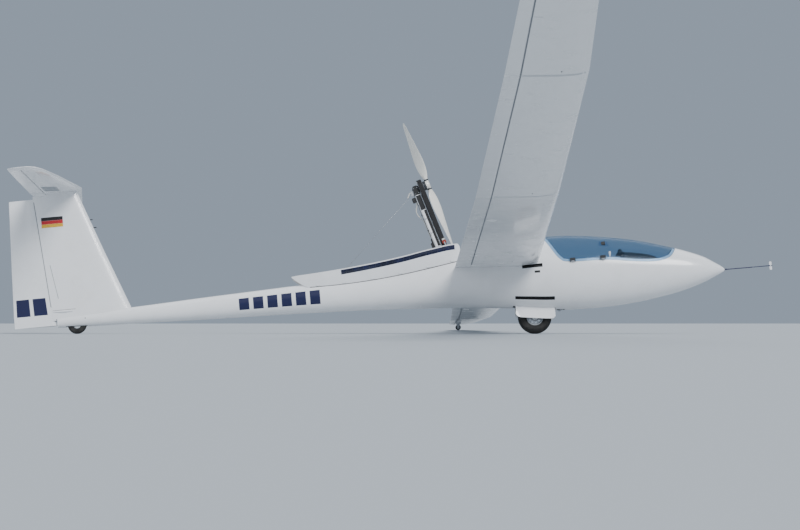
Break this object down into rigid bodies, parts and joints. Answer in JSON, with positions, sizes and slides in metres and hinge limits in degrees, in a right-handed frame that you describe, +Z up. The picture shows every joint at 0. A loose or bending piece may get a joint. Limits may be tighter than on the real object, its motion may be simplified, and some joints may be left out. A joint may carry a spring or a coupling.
{
  "type": "sailplane glider",
  "caption": "Single-seat self-launching sailplane with a raised engine pylon and propeller, T-tail, long jointed wings and wheels, parked on one wing tip.",
  "frame": {"origin": "centre of the bounding box, at the ground under the three wheels it rests on", "axes": "+X forward along the fuselage, +Y to port along the wings, +Z up"},
  "size_m": [8.4218, 26.2842, 2.5998],
  "materials": {
    "gelcoat": "glossy white gelcoat over glass and carbon fibre",
    "propeller_paint": "cream-white paint",
    "canopy_acrylic": "clear blown acrylic",
    "cockpit_grey": "matt dark grey",
    "shell_grey": "light grey paint",
    "seat_fabric": "dark brown woven cover",
    "tyre_rubber": "black rubber",
    "belt_rubber": "black toothed belt",
    "aluminium": "machined aluminium",
    "steel": "turned steel",
    "dark_steel": "dark steel",
    "engine_metal": "dark cast metal",
    "navy_paint": "dark blue paint",
    "solar_cells": "dark blue solar cells"
  },
  "bodies": {
    "airframe": {"fuselage_shell": "gelcoat", "tail_boom": "gelcoat", "fin": "gelcoat", "tailplane": "gelcoat", "wing_inner_left": "gelcoat", "wing_inner_right": "gelcoat", "wing_mid_left": "gelcoat", "wing_mid_right": "gelcoat", "wing_outer_left": "gelcoat", "wing_outer_right": "gelcoat", "bay_door_left": "gelcoat", "bay_door_right": "gelcoat", "gear_door_left": "gelcoat", "gear_door_right": "gelcoat", "instrument_panel": "cockpit_grey", "control_stick": "cockpit_grey", "seat_pan": "shell_grey", "gear_leg": "shell_grey", "tip_fork_left": "shell_grey", "tip_fork_right": "shell_grey", "seat_cushion": "seat_fabric", "headrest": "seat_fabric", "main_axle": "steel", "tail_axle": "steel", "nose_probe": "navy_paint", "solar_strip_left": "solar_cells", "solar_strip_right": "solar_cells"},
    "main_wheel": {"main_tyre": "tyre_rubber", "main_rim": "aluminium"},
    "tail_wheel": {"tail_tyre": "tyre_rubber", "tail_rim": "aluminium"},
    "tip_wheel_left": {"tip_wheel_left": "tyre_rubber"},
    "tip_wheel_right": {"tip_wheel_right": "tyre_rubber"},
    "pylon": {"pylon_shaft": "steel", "pylon_frame": "gelcoat", "engine_block": "engine_metal", "mast": "gelcoat", "lower_pulley": "aluminium", "drive_belt": "belt_rubber"},
    "propeller": {"upper_pulley": "aluminium", "propeller_hub": "dark_steel", "propeller": "propeller_paint"},
    "canopy": {"canopy_glass": "canopy_acrylic", "canopy_frame": "cockpit_grey", "canopy_hinge_front": "cockpit_grey", "canopy_hinge_rear": "cockpit_grey"},
    "rudder": {"rudder": "gelcoat"},
    "elevator": {"elevator": "gelcoat"},
    "flap_left": {"flap_left": "gelcoat"},
    "flap_right": {"flap_right": "gelcoat"},
    "aileron_mid_left": {"aileron_mid_left": "gelcoat"},
    "aileron_mid_right": {"aileron_mid_right": "gelcoat"},
    "aileron_outer_left": {"aileron_outer_left": "gelcoat"},
    "aileron_outer_right": {"aileron_outer_right": "gelcoat"}
  },
  "joints": [
    {"name": "main_wheel_spin", "type": "hinge", "parent": "airframe", "child": "main_wheel", "pos_m": [1.58923, -0.11234, 0.18352], "axis": [0.004, 0.9956, -0.094], "continuous": true},
    {"name": "tail_wheel_spin", "type": "hinge", "parent": "airframe", "child": "tail_wheel", "pos_m": [-3.43299, -0.0998, 0.10416], "axis": [0.004, 0.9956, -0.094], "continuous": true},
    {"name": "tip_wheel_left_spin", "type": "hinge", "parent": "airframe", "child": "tip_wheel_left", "pos_m": [1.11748, 12.8943, 0.04612], "axis": [0.004, 0.9956, -0.094], "continuous": true},
    {"name": "tip_wheel_right_spin", "type": "hinge", "parent": "airframe", "child": "tip_wheel_right", "pos_m": [1.01458, -12.91075, 2.48229], "axis": [0.004, 0.9956, -0.094], "continuous": true},
    {"name": "pylon_fold", "type": "hinge", "parent": "airframe", "child": "pylon", "pos_m": [0.75554, -0.05906, 0.7126], "axis": [-0.004, -0.9956, 0.094], "range_deg": [0, 76]},
    {"name": "propeller_spin", "type": "hinge", "parent": "pylon", "child": "propeller", "pos_m": [0.38412, 0.02957, 1.63574], "axis": [0.9283, 0.0313, 0.3705], "continuous": true},
    {"name": "canopy_hinge", "type": "hinge", "parent": "airframe", "child": "canopy", "pos_m": [2.51842, -0.36158, 0.83836], "axis": [0.9964, 0.004, 0.0841], "range_deg": [0, 95]},
    {"name": "rudder_hinge", "type": "hinge", "parent": "airframe", "child": "rudder", "pos_m": [-3.82417, -0.03439, 0.7805], "axis": [-0.1803, 0.0932, 0.9792], "range_deg": [-30, 30]},
    {"name": "elevator_hinge", "type": "hinge", "parent": "airframe", "child": "elevator", "pos_m": [-3.83762, 0.04054, 1.57367], "axis": [0.004, 0.9956, -0.094], "range_deg": [-16, 20]},
    {"name": "flap_left_hinge", "type": "hinge", "parent": "airframe", "child": "flap_left", "pos_m": [0.90698, 2.38085, 0.56039], "axis": [0.0185, 0.9976, -0.067], "range_deg": [-14, 6]},
    {"name": "flap_right_hinge", "type": "hinge", "parent": "airframe", "child": "flap_right", "pos_m": [0.88758, -2.48547, 1.01981], "axis": [-0.0105, 0.9926, -0.1209], "range_deg": [-14, 6]},
    {"name": "aileron_outer_left_hinge", "type": "hinge", "parent": "airframe", "child": "aileron_outer_left", "pos_m": [1.01395, 10.87888, 0.14827], "axis": [0.0077, 0.9997, -0.0246], "range_deg": [-20, 20]},
    {"name": "aileron_mid_left_hinge", "type": "hinge", "parent": "airframe", "child": "aileron_mid_left", "pos_m": [0.97247, 6.71202, 0.30742], "axis": [0.0119, 0.9987, -0.05], "range_deg": [-20, 20]},
    {"name": "aileron_mid_right_hinge", "type": "hinge", "parent": "airframe", "child": "aileron_mid_right", "pos_m": [0.91864, -6.78785, 1.5819], "axis": [-0.0039, 0.9905, -0.1378], "range_deg": [-20, 20]},
    {"name": "aileron_outer_right_hinge", "type": "hinge", "parent": "airframe", "child": "aileron_outer_right", "pos_m": [0.92706, -10.91106, 2.20538], "axis": [0.0002, 0.9866, -0.1629], "range_deg": [-20, 20]}
  ],
  "couplings": [
    {"joint": "flap_right_hinge", "follows": "flap_left_hinge", "ratio": 1},
    {"joint": "aileron_mid_left_hinge", "follows": "aileron_outer_left_hinge", "ratio": 1},
    {"joint": "aileron_mid_right_hinge", "follows": "aileron_outer_left_hinge", "ratio": -1},
    {"joint": "aileron_outer_right_hinge", "follows": "aileron_outer_left_hinge", "ratio": -1}
  ]
}
